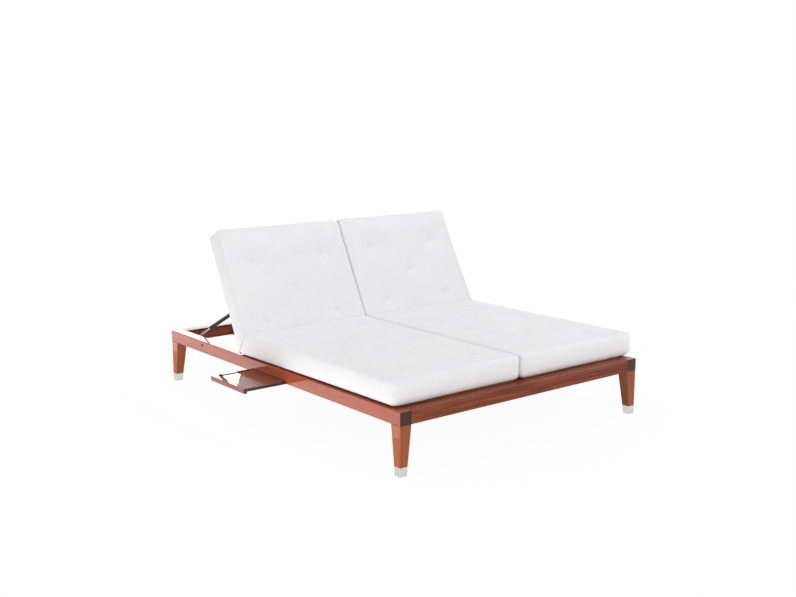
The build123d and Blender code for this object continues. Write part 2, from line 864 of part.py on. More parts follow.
for side_name, side_sign in sides.items():
    keep(side_rail(side_sign), f"{side_name}_side_rail")
    keep(hinge_rail(side_sign), f"{side_name}_hinge_rail")
    keep(outer_ledger(side_sign), f"{side_name}_outer_ledger")
    keep(inner_ledger(side_sign), f"{side_name}_inner_ledger")
    keep(seat_slats(side_sign), f"{side_name}_seat_slats")
    keep(hinge_cheek(side_sign), f"{side_name}_hinge_cheek")
    keep(hinge_pins(side_sign), f"{side_name}_hinge_pins")
    keep(back_ledge(side_sign), f"{side_name}_back_ledge")
    keep(back_stiles(side_sign), f"{side_name}_back_stiles")
    keep(back_rails(side_sign), f"{side_name}_back_rails")
    keep(back_slats(side_sign), f"{side_name}_back_slats")
    keep(strut_foot(side_sign), f"{side_name}_strut_foot")
    keep(strut_rod(side_sign), f"{side_name}_strut_rod")
    keep(strut_cylinder(side_sign), f"{side_name}_strut_cylinder")
    keep(strut_head_plate(side_sign), f"{side_name}_strut_head_plate")
    keep(tray_panel(side_sign), f"{side_name}_tray_panel")
    keep(tray_fascia(side_sign), f"{side_name}_tray_fascia")
    keep(tray_stop(side_sign), f"{side_name}_tray_stop")
    keep(tray_runners(side_sign), f"{side_name}_tray_runners")
    cushion_x = side_sign * cushion_middle_x
    seat_tufts = [
        (across, seat_cushion_length - along)
        for across, along in tuft_places(
            seat_cushion_length, seat_tuft_first_share, seat_tuft_pitch_share, seat_tuft_rows
        )
    ]
    back_tufts = tuft_places(
        back_frame_length, back_tuft_first_share, back_tuft_pitch_share, back_tuft_rows
    )
    keep(cushion(seat_side(cushion_x), seat_cushion_length, seat_tufts), f"{side_name}_seat_cushion")
    keep(cushion(back_side(cushion_x), back_frame_length, back_tufts), f"{side_name}_back_cushion")
    for end_name, end_sign in ends.items():
        keep(leg(side_sign, end_sign), f"{end_name}_{side_name}_leg")
        keep(leg_cap(side_sign, end_sign), f"{end_name}_{side_name}_leg_cap")

for end_name, end_sign in ends.items():
    keep(end_rail(end_sign), f"{end_name}_rail")

keep(middle_beam(), "middle_beam")
keep(rail_dowels(), "rail_dowels")
keep(leg_bolts(), "leg_bolts")
keep(rest_blocks(), "rest_blocks")
keep(rail_plugs(), "rail_plugs")
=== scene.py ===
import bmesh
import bpy
import json
from math import cos, exp, pi, radians, sin, tan
from mathutils import Matrix, Vector


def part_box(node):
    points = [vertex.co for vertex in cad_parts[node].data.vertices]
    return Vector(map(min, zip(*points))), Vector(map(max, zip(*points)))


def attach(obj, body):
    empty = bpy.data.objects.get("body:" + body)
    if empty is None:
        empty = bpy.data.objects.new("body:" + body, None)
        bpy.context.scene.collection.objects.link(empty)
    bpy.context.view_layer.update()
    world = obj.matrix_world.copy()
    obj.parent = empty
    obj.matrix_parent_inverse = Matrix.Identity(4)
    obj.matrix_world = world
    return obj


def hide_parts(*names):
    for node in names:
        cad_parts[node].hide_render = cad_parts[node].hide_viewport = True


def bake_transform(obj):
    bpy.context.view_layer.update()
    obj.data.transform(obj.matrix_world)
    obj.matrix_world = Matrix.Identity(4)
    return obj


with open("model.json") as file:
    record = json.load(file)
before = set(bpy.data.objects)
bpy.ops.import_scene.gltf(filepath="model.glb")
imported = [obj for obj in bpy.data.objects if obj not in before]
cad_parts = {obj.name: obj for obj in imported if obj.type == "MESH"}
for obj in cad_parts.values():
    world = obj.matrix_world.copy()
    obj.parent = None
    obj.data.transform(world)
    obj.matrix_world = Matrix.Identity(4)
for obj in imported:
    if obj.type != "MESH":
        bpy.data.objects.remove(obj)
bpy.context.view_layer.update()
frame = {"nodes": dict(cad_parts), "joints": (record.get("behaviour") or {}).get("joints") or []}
scene = bpy.context.scene

# Sizes from the frame, in metres

SIDES = {"left": -1, "right": 1}
recline = next(joint for joint in frame["joints"] if joint["name"] == "right_back_recline")
HINGE_Y, HINGE_Z = recline["pos_m"][1:]
LEAN = radians(recline["range_deg"][1])
DECK_TOP = round(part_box("right_seat_slats")[1].z, 4)
SEAT_LENGTH = round(HINGE_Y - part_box("right_seat_cushion")[0].y, 5)


# Camera

CAMERA_PLACE = (-3.4907, -4.4270, 1.5991)
CAMERA_TURN = radians(-38.637)
CAMERA_TILT = radians(10.749)
CAMERA_LENS = 49.14
CAMERA_SENSOR = 36
CAMERA_CLIP = 100

camera = bpy.data.objects.new("camera", bpy.data.cameras.new("camera"))
scene.collection.objects.link(camera)
scene.camera = camera
camera.data.sensor_width = CAMERA_SENSOR
camera.data.lens = CAMERA_LENS
camera.data.clip_end = CAMERA_CLIP
behind = Vector((sin(CAMERA_TURN) * cos(CAMERA_TILT), -cos(CAMERA_TURN) * cos(CAMERA_TILT), sin(CAMERA_TILT)))
across = Vector((cos(CAMERA_TURN), sin(CAMERA_TURN), 0))
above = behind.cross(across)
look = Matrix((across, above, behind)).transposed().to_4x4()
camera.matrix_world = Matrix.Translation(CAMERA_PLACE) @ look


# Shader building

class Shader:
    """The nodes of a material or of the world, with short ways to add and join them."""

    def __init__(self, owner, surface="Principled BSDF"):
        owner.use_nodes = True
        self.owner = owner
        self.tree = owner.node_tree
        self.surface = self.tree.nodes[surface]

    def add(self, kind, **settings):
        node = self.tree.nodes.new(kind)
        for key, value in settings.items():
            setattr(node, key, value)
        return node

    def join(self, source, target):
        self.tree.links.new(source, target)

    def set(self, **values):
        for key, value in values.items():
            self.surface.inputs[key.replace("_", " ")].default_value = value

    def coordinates(self, output="Object"):
        for node in self.tree.nodes:
            if node.bl_idname == "ShaderNodeTexCoord":
                return node.outputs[output]
        return self.add("ShaderNodeTexCoord").outputs[output]

    def mapped(self, vector, turn=(0, 0, 0), scale=(1, 1, 1), shift=(0, 0, 0)):
        """A vector that is scaled, turned and shifted."""
        place = self.add("ShaderNodeMapping")
        self.join(vector, place.inputs["Vector"])
        place.inputs["Rotation"].default_value = turn
        place.inputs["Scale"].default_value = scale
        place.inputs["Location"].default_value = shift
        return place.outputs["Vector"]

    def noise(self, vector, scale, detail=4, roughness=0.55, distortion=0):
        cloud = self.add("ShaderNodeTexNoise")
        self.join(vector, cloud.inputs["Vector"])
        cloud.inputs["Scale"].default_value = scale
        cloud.inputs["Detail"].default_value = detail
        cloud.inputs["Roughness"].default_value = roughness
        cloud.inputs["Distortion"].default_value = distortion
        return cloud.outputs["Fac"]

    def math(self, operation, first, second=0.5, third=0.5, clamp=False):
        result = self.add("ShaderNodeMath", operation=operation, use_clamp=clamp)
        for slot, value in zip(result.inputs, (first, second, third)):
            if isinstance(value, (int, float)):
                slot.default_value = value
            else:
                self.join(value, slot)
        return result.outputs[0]

    def ramp(self, factor, stops):
        """A row of colours, each at its place between 0 and 1."""
        row = self.add("ShaderNodeValToRGB")
        self.join(factor, row.inputs["Fac"])
        marks = row.color_ramp.elements
        while len(marks) < len(stops):
            marks.new(0.5)
        for mark, (place, colour) in zip(marks, stops):
            mark.position = place
            mark.color = (*colour, 1)
        return row.outputs["Color"]

    def mask(self, factor, low, high):
        """Black up to the low value and white from the high one."""
        return self.ramp(factor, [(low, (0, 0, 0)), (high, (1, 1, 1))])

    def blend(self, factor, first, second, kind="MIX"):
        mix = self.add("ShaderNodeMix", data_type="RGBA", blend_type=kind)
        for slot, value in zip((mix.inputs["Factor"], mix.inputs[6], mix.inputs[7]), (factor, first, second)):
            if isinstance(value, (int, float)):
                slot.default_value = value
            elif isinstance(value, tuple):
                slot.default_value = (*value, 1)
            else:
                self.join(value, slot)
        return mix.outputs[2]

    def bump(self, height, strength, distance, target="Normal", under=None):
        """Relief on the surface or on its coat, over the relief that is given as under."""
        relief = self.add("ShaderNodeBump")
        self.join(height, relief.inputs["Height"])
        relief.inputs["Strength"].default_value = strength
        relief.inputs["Distance"].default_value = distance
        if under is not None:
            self.join(under, relief.inputs["Normal"])
        self.join(relief.outputs["Normal"], self.surface.inputs[target])
        return relief.outputs["Normal"]

    def seen(self):
        """1 for what the camera sees itself, mirrored or through glass, and 0 for the light on the object."""
        path = self.add("ShaderNodeLightPath")
        direct = self.math("MAXIMUM", path.outputs["Is Camera Ray"], path.outputs["Is Glossy Ray"])
        return self.math("MAXIMUM", direct, path.outputs["Is Transmission Ray"])


def scaled(colour, share):
    """The same colour, darker or brighter."""
    return tuple(share * part for part in colour)


# Timber finishes: how the grain turns, which way its ends face, and how each pattern is stretched

GRAIN_TURNS = {"x": (0, 0, 0), "y": (0, 0, -pi / 2), "z": (0, pi / 2, 0), "lean": (-LEAN, 0, 0)}
END_AXES = {"x": (1, 0, 0), "y": (0, 1, 0), "z": (0, 0, 1), "lean": (0, cos(LEAN), sin(LEAN))}
SWAY_STRETCH = (1.6, 5, 5)
SWAY_REACH = (0, 0.035, 0.035)
BAND_STRETCH = (0.9, 38, 38)
LINE_STRETCH = (2.4, 165, 165)
FIBRE_STRETCH = (20, 760, 760)
CLOUD_STRETCH = (1.3, 6, 6)
BAND_SHARE = 0.50
LINE_SHARE = 0.42
CLOUD_SHARE = 0.22
PORE_SHARE = 0.40
PORE_SHADE = 0.5
SPECKLE_SCALE = 380
RIPPLE_SCALE = 30
VARNISH_ROUGHNESS = 0.36
FIBRE_ROUGHNESS = 0.2

# Where pores and end grain start and are full, places of the tones on a face and on its ends, and the tones

PORE_EDGES = (0.58, 0.70)
END_EDGES = (0.80, 0.93)
FACE_STOPS = (0.40, 0.52, 0.61, 0.74)
END_STOPS = (0.32, 0.68)
RED_TONES = ((0.070, 0.012, 0.006), (0.140, 0.026, 0.009), (0.215, 0.046, 0.013), (0.310, 0.088, 0.026))
# The side rails' tones are painted light: the same rail wood made lighter and redder, standing in for the
# light that falls on their sides from the left
LIT_SIDE_TONES = ((0.200, 0.026, 0.006), (0.265, 0.038, 0.009), (0.320, 0.052, 0.012), (0.375, 0.074, 0.018))
LEG_TONES = ((0.160, 0.030, 0.007), (0.240, 0.052, 0.010), (0.310, 0.074, 0.014), (0.390, 0.110, 0.026))
PALE_TONES = ((0.22, 0.12, 0.06), (0.34, 0.20, 0.11), (0.44, 0.28, 0.16), (0.52, 0.36, 0.22))
PLUG_TONES = ((0.12, 0.026, 0.006), (0.18, 0.042, 0.009), (0.24, 0.060, 0.012), (0.30, 0.085, 0.018))
END_TONES = ((0.016, 0.004, 0.003), (0.062, 0.014, 0.010))


def timber(name, grain, tones=RED_TONES, figure=1.0, gloss=0.5, mirror=1.40, shift=(0, 0, 0)):
    """Varnished hardwood whose grain runs along an axis or up the leaning back."""
    wood = Shader(bpy.data.materials.new(name))
    along = wood.mapped(wood.coordinates(), turn=GRAIN_TURNS[grain], shift=shift)
    if grain == "lean":
        along = wood.mapped(along, turn=GRAIN_TURNS["y"])
    sway = wood.noise(wood.mapped(along, scale=SWAY_STRETCH), 1, detail=2, roughness=0.5)
    lean = wood.add("ShaderNodeVectorMath", operation="MULTIPLY_ADD")
    wood.join(sway, lean.inputs[0])
    lean.inputs[1].default_value = SWAY_REACH
    wood.join(along, lean.inputs[2])
    swayed = lean.outputs["Vector"]
    bands = wood.noise(wood.mapped(swayed, scale=BAND_STRETCH), 1, detail=3, roughness=0.55)
    lines = wood.noise(wood.mapped(swayed, scale=LINE_STRETCH), 1, detail=4, roughness=0.62)
    fibre = wood.noise(wood.mapped(along, scale=FIBRE_STRETCH), 1, detail=2, roughness=0.6)
    cloud = wood.noise(wood.mapped(along, scale=CLOUD_STRETCH), 1, detail=2, roughness=0.5)
    tone = wood.math("MULTIPLY_ADD", bands, BAND_SHARE * figure, BAND_SHARE - BAND_SHARE * figure)
    tone = wood.math("MULTIPLY_ADD", lines, LINE_SHARE * figure, tone)
    tone = wood.math("MULTIPLY_ADD", cloud, CLOUD_SHARE, tone)
    face = wood.ramp(tone, list(zip(FACE_STOPS, tones)))
    pores = wood.math("MULTIPLY", wood.mask(fibre, *PORE_EDGES), PORE_SHARE * figure)
    face = wood.blend(pores, face, scaled(tones[0], PORE_SHADE))
    cut = wood.add("ShaderNodeVectorMath", operation="DOT_PRODUCT")
    wood.join(wood.coordinates("Normal"), cut.inputs[0])
    cut.inputs[1].default_value = END_AXES[grain]
    end = wood.mask(wood.math("ABSOLUTE", cut.outputs["Value"]), *END_EDGES)
    speckle = wood.noise(along, SPECKLE_SCALE, detail=3, roughness=0.7)
    end_face = wood.ramp(speckle, list(zip(END_STOPS, END_TONES)))
    wood.join(wood.blend(end, face, end_face), wood.surface.inputs["Base Color"])
    rough = wood.math("MULTIPLY_ADD", fibre, FIBRE_ROUGHNESS, VARNISH_ROUGHNESS)
    wood.join(rough, wood.surface.inputs["Roughness"])
    wood.set(Coat_Weight=gloss, Coat_Roughness=0.04, Coat_IOR=mirror, Specular_IOR_Level=0.05)
    wood.bump(fibre, strength=0.2, distance=0.0003)
    ripple = wood.noise(along, RIPPLE_SCALE, detail=2, roughness=0.5)
    wood.bump(ripple, strength=0.05, distance=0.0005, target="Coat Normal")
    return wood.owner


# painted light: the side rails, middle beam and hinge cheeks take the lighter, redder tones of lit side faces
lit_side_wood = timber(
    "side_rail_varnish_lit", "y", tones=LIT_SIDE_TONES, figure=0.45, gloss=0.72, mirror=1.45, shift=(0.31, 0.12, 0.05)
)
cross_wood = timber("cross_rail_varnish", "x", shift=(0.0, 0.21, 0.33))
leg_wood = timber("leg_varnish", "z", tones=LEG_TONES, figure=0.7, gloss=0.8, shift=(0.13, 0.07, 0.4))
tray_wood = timber("tray_varnish", "y", figure=0.5, gloss=1.0, mirror=1.62, shift=(0.6, 0.4, 0.2))
stile_wood = timber("stile_varnish", "lean", figure=0.8)
deck_wood = timber("deck_varnish", "x", shift=(0.5, 0.1, 0.7))
ledger_wood = timber("ledger_varnish", "y", shift=(0.2, 0.6, 0.1))
dowel_wood = timber("dowel_timber", "y", tones=PALE_TONES, gloss=0.1)
plug_wood = timber("plug_oil", "z", tones=PLUG_TONES, gloss=0.0, shift=(0.2, 0.2, 0.2))


# Metal and paint finishes

WEAR_SCALE = 60
WEAR_REACH = 0.22
WEAR_SHADE = 0.82
PEEL_SCALE = 900
MOTTLE_SCALE = 40
MOTTLE_REACH = 0.12
MOTTLE_SHADES = (0.75, 1.3)


def metal(name, colour, roughness, brush=None, strength=0.1):
    """Bare metal with soft wear, or with brush lines where the pattern's stretch is given."""
    steel = Shader(bpy.data.materials.new(name))
    steel.set(Metallic=1.0, Base_Color=(*colour, 1))
    if brush is None:
        wear = steel.noise(steel.coordinates(), WEAR_SCALE, detail=4, roughness=0.6)
    else:
        wear = steel.noise(steel.mapped(steel.coordinates(), scale=brush), 1, detail=4, roughness=0.7)
    rough = steel.math("MULTIPLY_ADD", wear, WEAR_REACH, roughness - WEAR_REACH / 2)
    steel.join(rough, steel.surface.inputs["Roughness"])
    steel.join(steel.blend(wear, scaled(colour, WEAR_SHADE), colour), steel.surface.inputs["Base Color"])
    steel.bump(wear, strength, distance=0.0002)
    return steel.owner


def paint(name, colour, roughness=0.5):
    """Baked enamel with a faint orange peel."""
    enamel = Shader(bpy.data.materials.new(name))
    peel = enamel.noise(enamel.coordinates(), PEEL_SCALE, detail=2, roughness=0.5)
    mottle = enamel.noise(enamel.coordinates(), MOTTLE_SCALE, detail=3, roughness=0.6)
    tint = enamel.blend(mottle, *(scaled(colour, shade) for shade in MOTTLE_SHADES))
    enamel.join(tint, enamel.surface.inputs["Base Color"])
    rough = enamel.math("MULTIPLY_ADD", mottle, MOTTLE_REACH, roughness - MOTTLE_REACH / 2)
    enamel.join(rough, enamel.surface.inputs["Roughness"])
    enamel.set(Specular_IOR_Level=0.12)
    enamel.bump(peel, strength=0.08, distance=0.0001)
    return enamel.owner


cap_metal = metal("cap_brushed_steel", (0.72, 0.71, 0.68), 0.26, brush=(30, 30, 1400), strength=0.12)
zinc = metal("bolt_zinc", (0.60, 0.60, 0.62), 0.38)
pin_metal = metal("pin_turned_steel", (0.58, 0.57, 0.55), 0.25, brush=(1600, 20, 20), strength=0.08)
rod_metal = metal("rod_polished_steel", (0.72, 0.72, 0.73), 0.16)
bracket_paint = paint("bracket_black", (0.022, 0.022, 0.025))
tube_paint = paint("strut_black", (0.020, 0.021, 0.025))


# Cushion cloth

THREAD_SCALE = 290
THREAD_WAVER = 0.8
THREAD_FADE = 1.5
THREAD_SHARE = 0.12
SLUB_SCALE = 420
SLUB_SHARE = 0.4
CRUMPLE_SCALE = 7
CLOTH_TONES = ((0.2, (0.755, 0.757, 0.764)), (0.6, (0.815, 0.816, 0.821)))
SOFT_TONES = ((0.3, (0.975, 0.976, 0.980)), (0.7, (1, 1, 1)))


def cloth(name, turn):
    """White woven outdoor cloth, its threads along the cushion's own axes."""
    weave = Shader(bpy.data.materials.new(name))
    own = weave.mapped(weave.coordinates(), turn=turn)
    parts = weave.add("ShaderNodeSeparateXYZ")
    weave.join(weave.mapped(weave.coordinates("Normal"), turn=turn), parts.inputs["Vector"])
    heights = []
    for axis in ("X", "Y", "Z"):
        band = weave.add("ShaderNodeTexWave", wave_type="BANDS", bands_direction=axis, wave_profile="SIN")
        weave.join(own, band.inputs["Vector"])
        band.inputs["Scale"].default_value = THREAD_SCALE
        band.inputs["Distortion"].default_value = THREAD_WAVER
        band.inputs["Detail"].default_value = 1
        band.inputs["Detail Scale"].default_value = 3
        # bands lie level with a face that their axis meets, so they fade out there
        beside = weave.math("SUBTRACT", 1.0, weave.math("ABSOLUTE", parts.outputs[axis]))
        share = weave.math("MULTIPLY", beside, THREAD_FADE, clamp=True)
        heights.append(weave.math("MULTIPLY", band.outputs["Fac"], share))
    threads = weave.math("ADD", weave.math("ADD", heights[0], heights[1]), heights[2])
    slub = weave.noise(own, SLUB_SCALE, detail=3, roughness=0.7)
    soft = weave.noise(own, CRUMPLE_SCALE, detail=3, roughness=0.5, distortion=0.3)
    tone = weave.math("MULTIPLY_ADD", threads, THREAD_SHARE, weave.math("MULTIPLY", slub, SLUB_SHARE))
    fine = weave.ramp(tone, CLOTH_TONES)
    shade = weave.ramp(soft, SOFT_TONES)
    weave.join(weave.blend(1, fine, shade, kind="MULTIPLY"), weave.surface.inputs["Base Color"])
    weave.set(Roughness=0.9, Sheen_Weight=0.10, Sheen_Roughness=0.4, Specular_IOR_Level=0.2)
    crumple = weave.bump(soft, strength=0.2, distance=0.004)
    weave.bump(threads, strength=0.25, distance=0.0004, under=crumple)
    return weave.owner


seat_cloth = cloth("seat_cloth", (0, 0, 0))
back_cloth = cloth("back_cloth", (-LEAN, 0, 0))


# Finishes of the construction's pieces

FINISHES = (
    (cross_wood, ("front_rail", "rear_rail", "rest_blocks", "{side}_hinge_rail", "{side}_back_rails")),
    (lit_side_wood, ("middle_beam", "{side}_side_rail", "{side}_hinge_cheek")),
    (leg_wood, ("front_{side}_leg", "rear_{side}_leg")),
    (ledger_wood, ("{side}_outer_ledger", "{side}_inner_ledger", "{side}_back_ledge")),
    (deck_wood, ("{side}_seat_slats", "{side}_back_slats", "{side}_tray_runners")),
    (stile_wood, ("{side}_back_stiles",)),
    (tray_wood, ("{side}_tray_panel", "{side}_tray_fascia", "{side}_tray_stop")),
    (dowel_wood, ("rail_dowels",)),
    (plug_wood, ("rail_plugs",)),
    (cap_metal, ("front_{side}_leg_cap", "rear_{side}_leg_cap")),
    (zinc, ("leg_bolts",)),
    (pin_metal, ("{side}_hinge_pins",)),
    (rod_metal, ("{side}_strut_rod",)),
    (bracket_paint, ("{side}_strut_foot", "{side}_strut_head_plate")),
    (tube_paint, ("{side}_strut_cylinder",)),
    (seat_cloth, ("{side}_seat_cushion",)),
    (back_cloth, ("{side}_back_cushion",)),
)
for finish, names in FINISHES:
    for node_name in sorted({name.format(side=side) for name in names for side in SIDES}):
        mesh = frame["nodes"][node_name].data
        mesh.materials.clear()
        mesh.materials.append(finish)


# Cushions: sizes of a block, in metres, and where it lies over the hinge

CUSHION_INNER = 0.005
CUSHION_OUTER = 0.758
CUSHION_MIDDLE = (CUSHION_INNER + CUSHION_OUTER) / 2
CUSHION_HALF = (CUSHION_OUTER - CUSHION_INNER) / 2
CUSHION_EDGE = 0.117
CUSHION_CREST = 0.128
TOP_START = CUSHION_EDGE * 0.7
SIDE_START = CUSHION_HALF * 0.99
LEVEL = 1e-5
DECK_GAP = 0.0003
FLOOR_OVER_HINGE = DECK_TOP + DECK_GAP - HINGE_Z

# The plane at the crease, and what a block has to spare there before it is cut

CREASE_SLOPE = tan(LEAN / 2)
CREASE_GAP = 0.0002
CREASE_SPARE = 0.012
CREASE_SNAP = 0.0025
CREASE_FACE = 0.0001

# The foam's crown and its sides, drawn in between the corners

FOAM_CROWN = 0.004
SIDE_DRAW = 0.002
END_DRAW = 0.003

# What the cloth simulation holds, and how much of its swelling stays at the walls and on the top

HELD_FLOOR = 0.004
HELD_KNOT = 0.010
HELD_CREASE = 0.004
CREASE_HOLD = 0.6
SWELL_FRAMES = 20
SWELL_CAP = 0.024
WALL_SWELL = 0.22
TOP_SWELL = 0.30
TOP_REACH = 0.12
RIM_WIDTH = 0.035

# Tufts, their stitches and the short folds round them, and the seams of the border strip

TUFT_OFFSET = 0.2101
TUFT_DEPTH = 0.009
TUFT_REACH = 0.055
STITCH_DEPTH = 0.0055
STITCH_REACH = 0.017
FOLD_COUNT = 5
FOLD_RISE = 0.0014
FOLD_RING = 1.9
FOLD_WIDTH = 0.9
FOLD_END = 4
SEAM_HEIGHTS = (0.019, 0.102)
SEAM_HALF = 0.0014
SEAM_DEPTH = 0.0012
SEAM_STEEPEST = 0.9

# Inner sides, pressed against each other along the middle

MIDDLE_GAP = 0.0004


def tuft_rows(first, pitch, rows):
    """Places of the tufts, two and one by turns."""
    places = []
    for row in range(rows):
        for shift in ((-TUFT_OFFSET, TUFT_OFFSET) if row % 2 == 0 else (0,)):
            places.append(Vector((shift, first + pitch * row)))
    return places


def crease_depth(point):
    """How far a point lies inside the plane where seat and back cushions meet."""
    return (point.y - CREASE_SLOPE * (point.z + FLOOR_OVER_HINGE)) * cos(LEAN / 2) - CREASE_GAP


def smoothly(value):
    """Ease from 0 to 1."""
    value = max(0.0, min(1.0, value))
    return value * value * (3 - 2 * value)


def rounded(shape, edges, radius, segments):
    """Round some edges of a block."""
    bmesh.ops.bevel(
        shape, geom=edges, offset=radius, offset_type="OFFSET", segments=segments, profile=0.5,
        affect="EDGES", material=-1,
    )


def block(length, corners, rims):
    """The cushion's foam block in its own frame: X across, Y away from the crease, Z up."""
    shape = bmesh.new()
    bmesh.ops.create_cube(shape, size=1)
    for corner in shape.verts:
        corner.co.z = CUSHION_EDGE if corner.co.z > 0 else 0
        corner.co.x = CUSHION_HALF if corner.co.x > 0 else -CUSHION_HALF
        start = CREASE_SLOPE * (corner.co.z + FLOOR_OVER_HINGE) + CREASE_GAP - CREASE_SPARE
        corner.co.y = length if corner.co.y > 0 else start
    for side, radius in zip((-1, 1), corners):
        upright = [
            edge for edge in shape.edges
            if abs(edge.verts[0].co.z - edge.verts[1].co.z) > CUSHION_EDGE / 2
            and edge.verts[0].co.y > length / 2 and edge.verts[0].co.x * side > SIDE_START
        ]
        rounded(shape, upright, radius, segments=6)
    for height, radius in zip((CUSHION_EDGE, 0), rims):
        crease = CREASE_SLOPE * (height + FLOOR_OVER_HINGE) + CREASE_GAP
        rim = [
            edge for edge in shape.edges
            if all(abs(vertex.co.z - height) < LEVEL for vertex in edge.verts)
            and any(vertex.co.y > crease + LEVEL for vertex in edge.verts)
        ]
        rounded(shape, rim, radius, segments=4)
    mesh = bpy.data.meshes.new("block")
    shape.to_mesh(mesh)
    shape.free()
    return mesh


def apply_modifiers(piece):
    bpy.ops.object.select_all(action="DESELECT")
    piece.select_set(True)
    bpy.context.view_layer.objects.active = piece
    for modifier in list(piece.modifiers):
        bpy.ops.object.modifier_apply(modifier=modifier.name)


def even_cells(piece, cell):
    """Give the block a skin of even cells, fine enough to swell."""
    remesh = piece.modifiers.new("even", "REMESH")
    remesh.mode = "VOXEL"
    remesh.voxel_size = cell
    apply_modifiers(piece)


def halve_cells(piece):
    finer = piece.modifiers.new("finer", "SUBSURF")
    finer.levels = 1
    finer.render_levels = 1
    apply_modifiers(piece)


def shape_foam(piece, length):
    """Crown the block and draw its long sides in between the corners."""
    for vertex in piece.data.vertices:
        spot = vertex.co
        across = 1 - min(1.0, (spot.x / CUSHION_HALF) ** 2)
        along = 1 - min(1.0, (2 * spot.y / length - 1) ** 2)
        rise = spot.z / CUSHION_EDGE
        spot.z += FOAM_CROWN * across * along * rise
        spot.x *= 1 - SIDE_DRAW * along / CUSHION_HALF
        spot.y -= END_DRAW * across * smoothly(spot.y / length)


def draw_in(piece, tufts):
    """Pull the top down at each tuft, and mark what the swelling leaves in place."""
    pins = piece.vertex_groups.new(name="held")
    for vertex in piece.data.vertices:
        spot = vertex.co
        hold = 0.0
        if spot.z < HELD_FLOOR:
            hold = 1.0
        elif spot.z > TOP_START:
            reach = min((Vector((spot.x, spot.y)) - tuft).length for tuft in tufts)
            if reach < TUFT_REACH:
                spot.z -= TUFT_DEPTH * (0.5 + 0.5 * cos(pi * reach / TUFT_REACH))
            if reach < HELD_KNOT:
                hold = 1.0
        if crease_depth(spot) < HELD_CREASE:
            hold = max(hold, CREASE_HOLD)
        if hold:
            pins.add([vertex.index], hold, "REPLACE")
    return pins


def swell(piece, pins, length):
    """Blow the cover up over its held tufts with a cloth simulation, and keep the result.

    The foam's walls stay nearly upright, so they take a smaller share of the swelling than the top."""
    before = [vertex.co.copy() for vertex in piece.data.vertices]
    fabric = piece.modifiers.new("fabric", "CLOTH")
    rules = fabric.settings
    rules.quality = 5
    rules.mass = 0.3
    rules.tension_stiffness = 22
    rules.compression_stiffness = 22
    rules.shear_stiffness = 8
    rules.bending_stiffness = 0.6
    rules.use_pressure = True
    rules.uniform_pressure_force = 4
    rules.vertex_group_mass = pins.name
    rules.effector_weights.gravity = 0
    fabric.collision_settings.use_collision = False
    fabric.collision_settings.use_self_collision = False
    fabric.point_cache.frame_start = 1
    fabric.point_cache.frame_end = SWELL_FRAMES
    for step in range(1, SWELL_FRAMES + 1):
        scene.frame_set(step)
    apply_modifiers(piece)
    scene.frame_set(1)
    for vertex, rest in zip(piece.data.vertices, before):
        move = vertex.co - rest
        if move.length > SWELL_CAP:
            move *= SWELL_CAP / move.length
        inside = min(CUSHION_HALF - abs(rest.x), length - rest.y)
        vertex.co = rest + move * (WALL_SWELL + TOP_SWELL * smoothly(inside / TOP_REACH))


def smooth(piece, rounds, length=None):
    """Ease the cover all over, or only the top inside its rim where the cushion's length is given."""
    shape = bmesh.new()
    shape.from_mesh(piece.data)
    eased = [
        vertex for vertex in shape.verts
        if length is None or vertex.co.z > TOP_START and crease_depth(vertex.co) > RIM_WIDTH
        and abs(vertex.co.x) < CUSHION_HALF - RIM_WIDTH and vertex.co.y < length - RIM_WIDTH
    ]
    for _ in range(rounds):
        bmesh.ops.smooth_vert(
            shape, verts=eased, factor=0.5, use_axis_x=True, use_axis_y=True, use_axis_z=True
        )
    shape.to_mesh(piece.data)
    shape.free()


def fit(piece, length):
    """Bring the swollen cover to the cushion's own sizes and keep it off the deck."""
    spots = [vertex.co for vertex in piece.data.vertices]
    widest = max(abs(spot.x) for spot in spots)
    longest = max(spot.y for spot in spots)
    highest = max(spot.z for spot in spots)
    for spot in spots:
        spot.x *= CUSHION_HALF / widest
        spot.y *= length / longest
        spot.z = max(spot.z * CUSHION_CREST / highest, 0.0)


def cut_crease(piece):
    """Trim the cushion to the plane where seat and back meet, and close it with a flat face."""
    shape = bmesh.new()
    shape.from_mesh(piece.data)
    bmesh.ops.bisect_plane(
        shape, geom=shape.verts[:] + shape.edges[:] + shape.faces[:], dist=CREASE_SNAP, use_snap_center=True,
        plane_co=(0, CREASE_SLOPE * FLOOR_OVER_HINGE + CREASE_GAP / cos(LEAN / 2), 0),
        plane_no=(0, -cos(LEAN / 2), sin(LEAN / 2)), clear_outer=True,
    )
    border = [edge for edge in shape.edges if edge.is_boundary]
    ends = bmesh.ops.holes_fill(shape, edges=border, sides=0)["faces"]
    for edge in border:
        edge.smooth = False
    bmesh.ops.triangulate(shape, faces=ends)
    bmesh.ops.recalc_face_normals(shape, faces=shape.faces)
    shape.to_mesh(piece.data)
    shape.free()


def sew_tufts(piece, tufts):
    """Press each tuft's stitch into the cover, with short folds round it."""
    for vertex in piece.data.vertices:
        spot = vertex.co
        if spot.z < TOP_START:
            continue
        for number, tuft in enumerate(tufts):
            away = Vector((spot.x, spot.y)) - tuft
            reach = away.length
            if reach < FOLD_END * STITCH_REACH:
                around = away.angle_signed(Vector((1, 0))) if reach > LEVEL else 0.0
                ring = exp(-((reach - FOLD_RING * STITCH_REACH) / (FOLD_WIDTH * STITCH_REACH)) ** 2)
                spot.z -= STITCH_DEPTH * exp(-(reach / STITCH_REACH) ** 2)
                spot.z += FOLD_RISE * ring * cos(FOLD_COUNT * around + number)


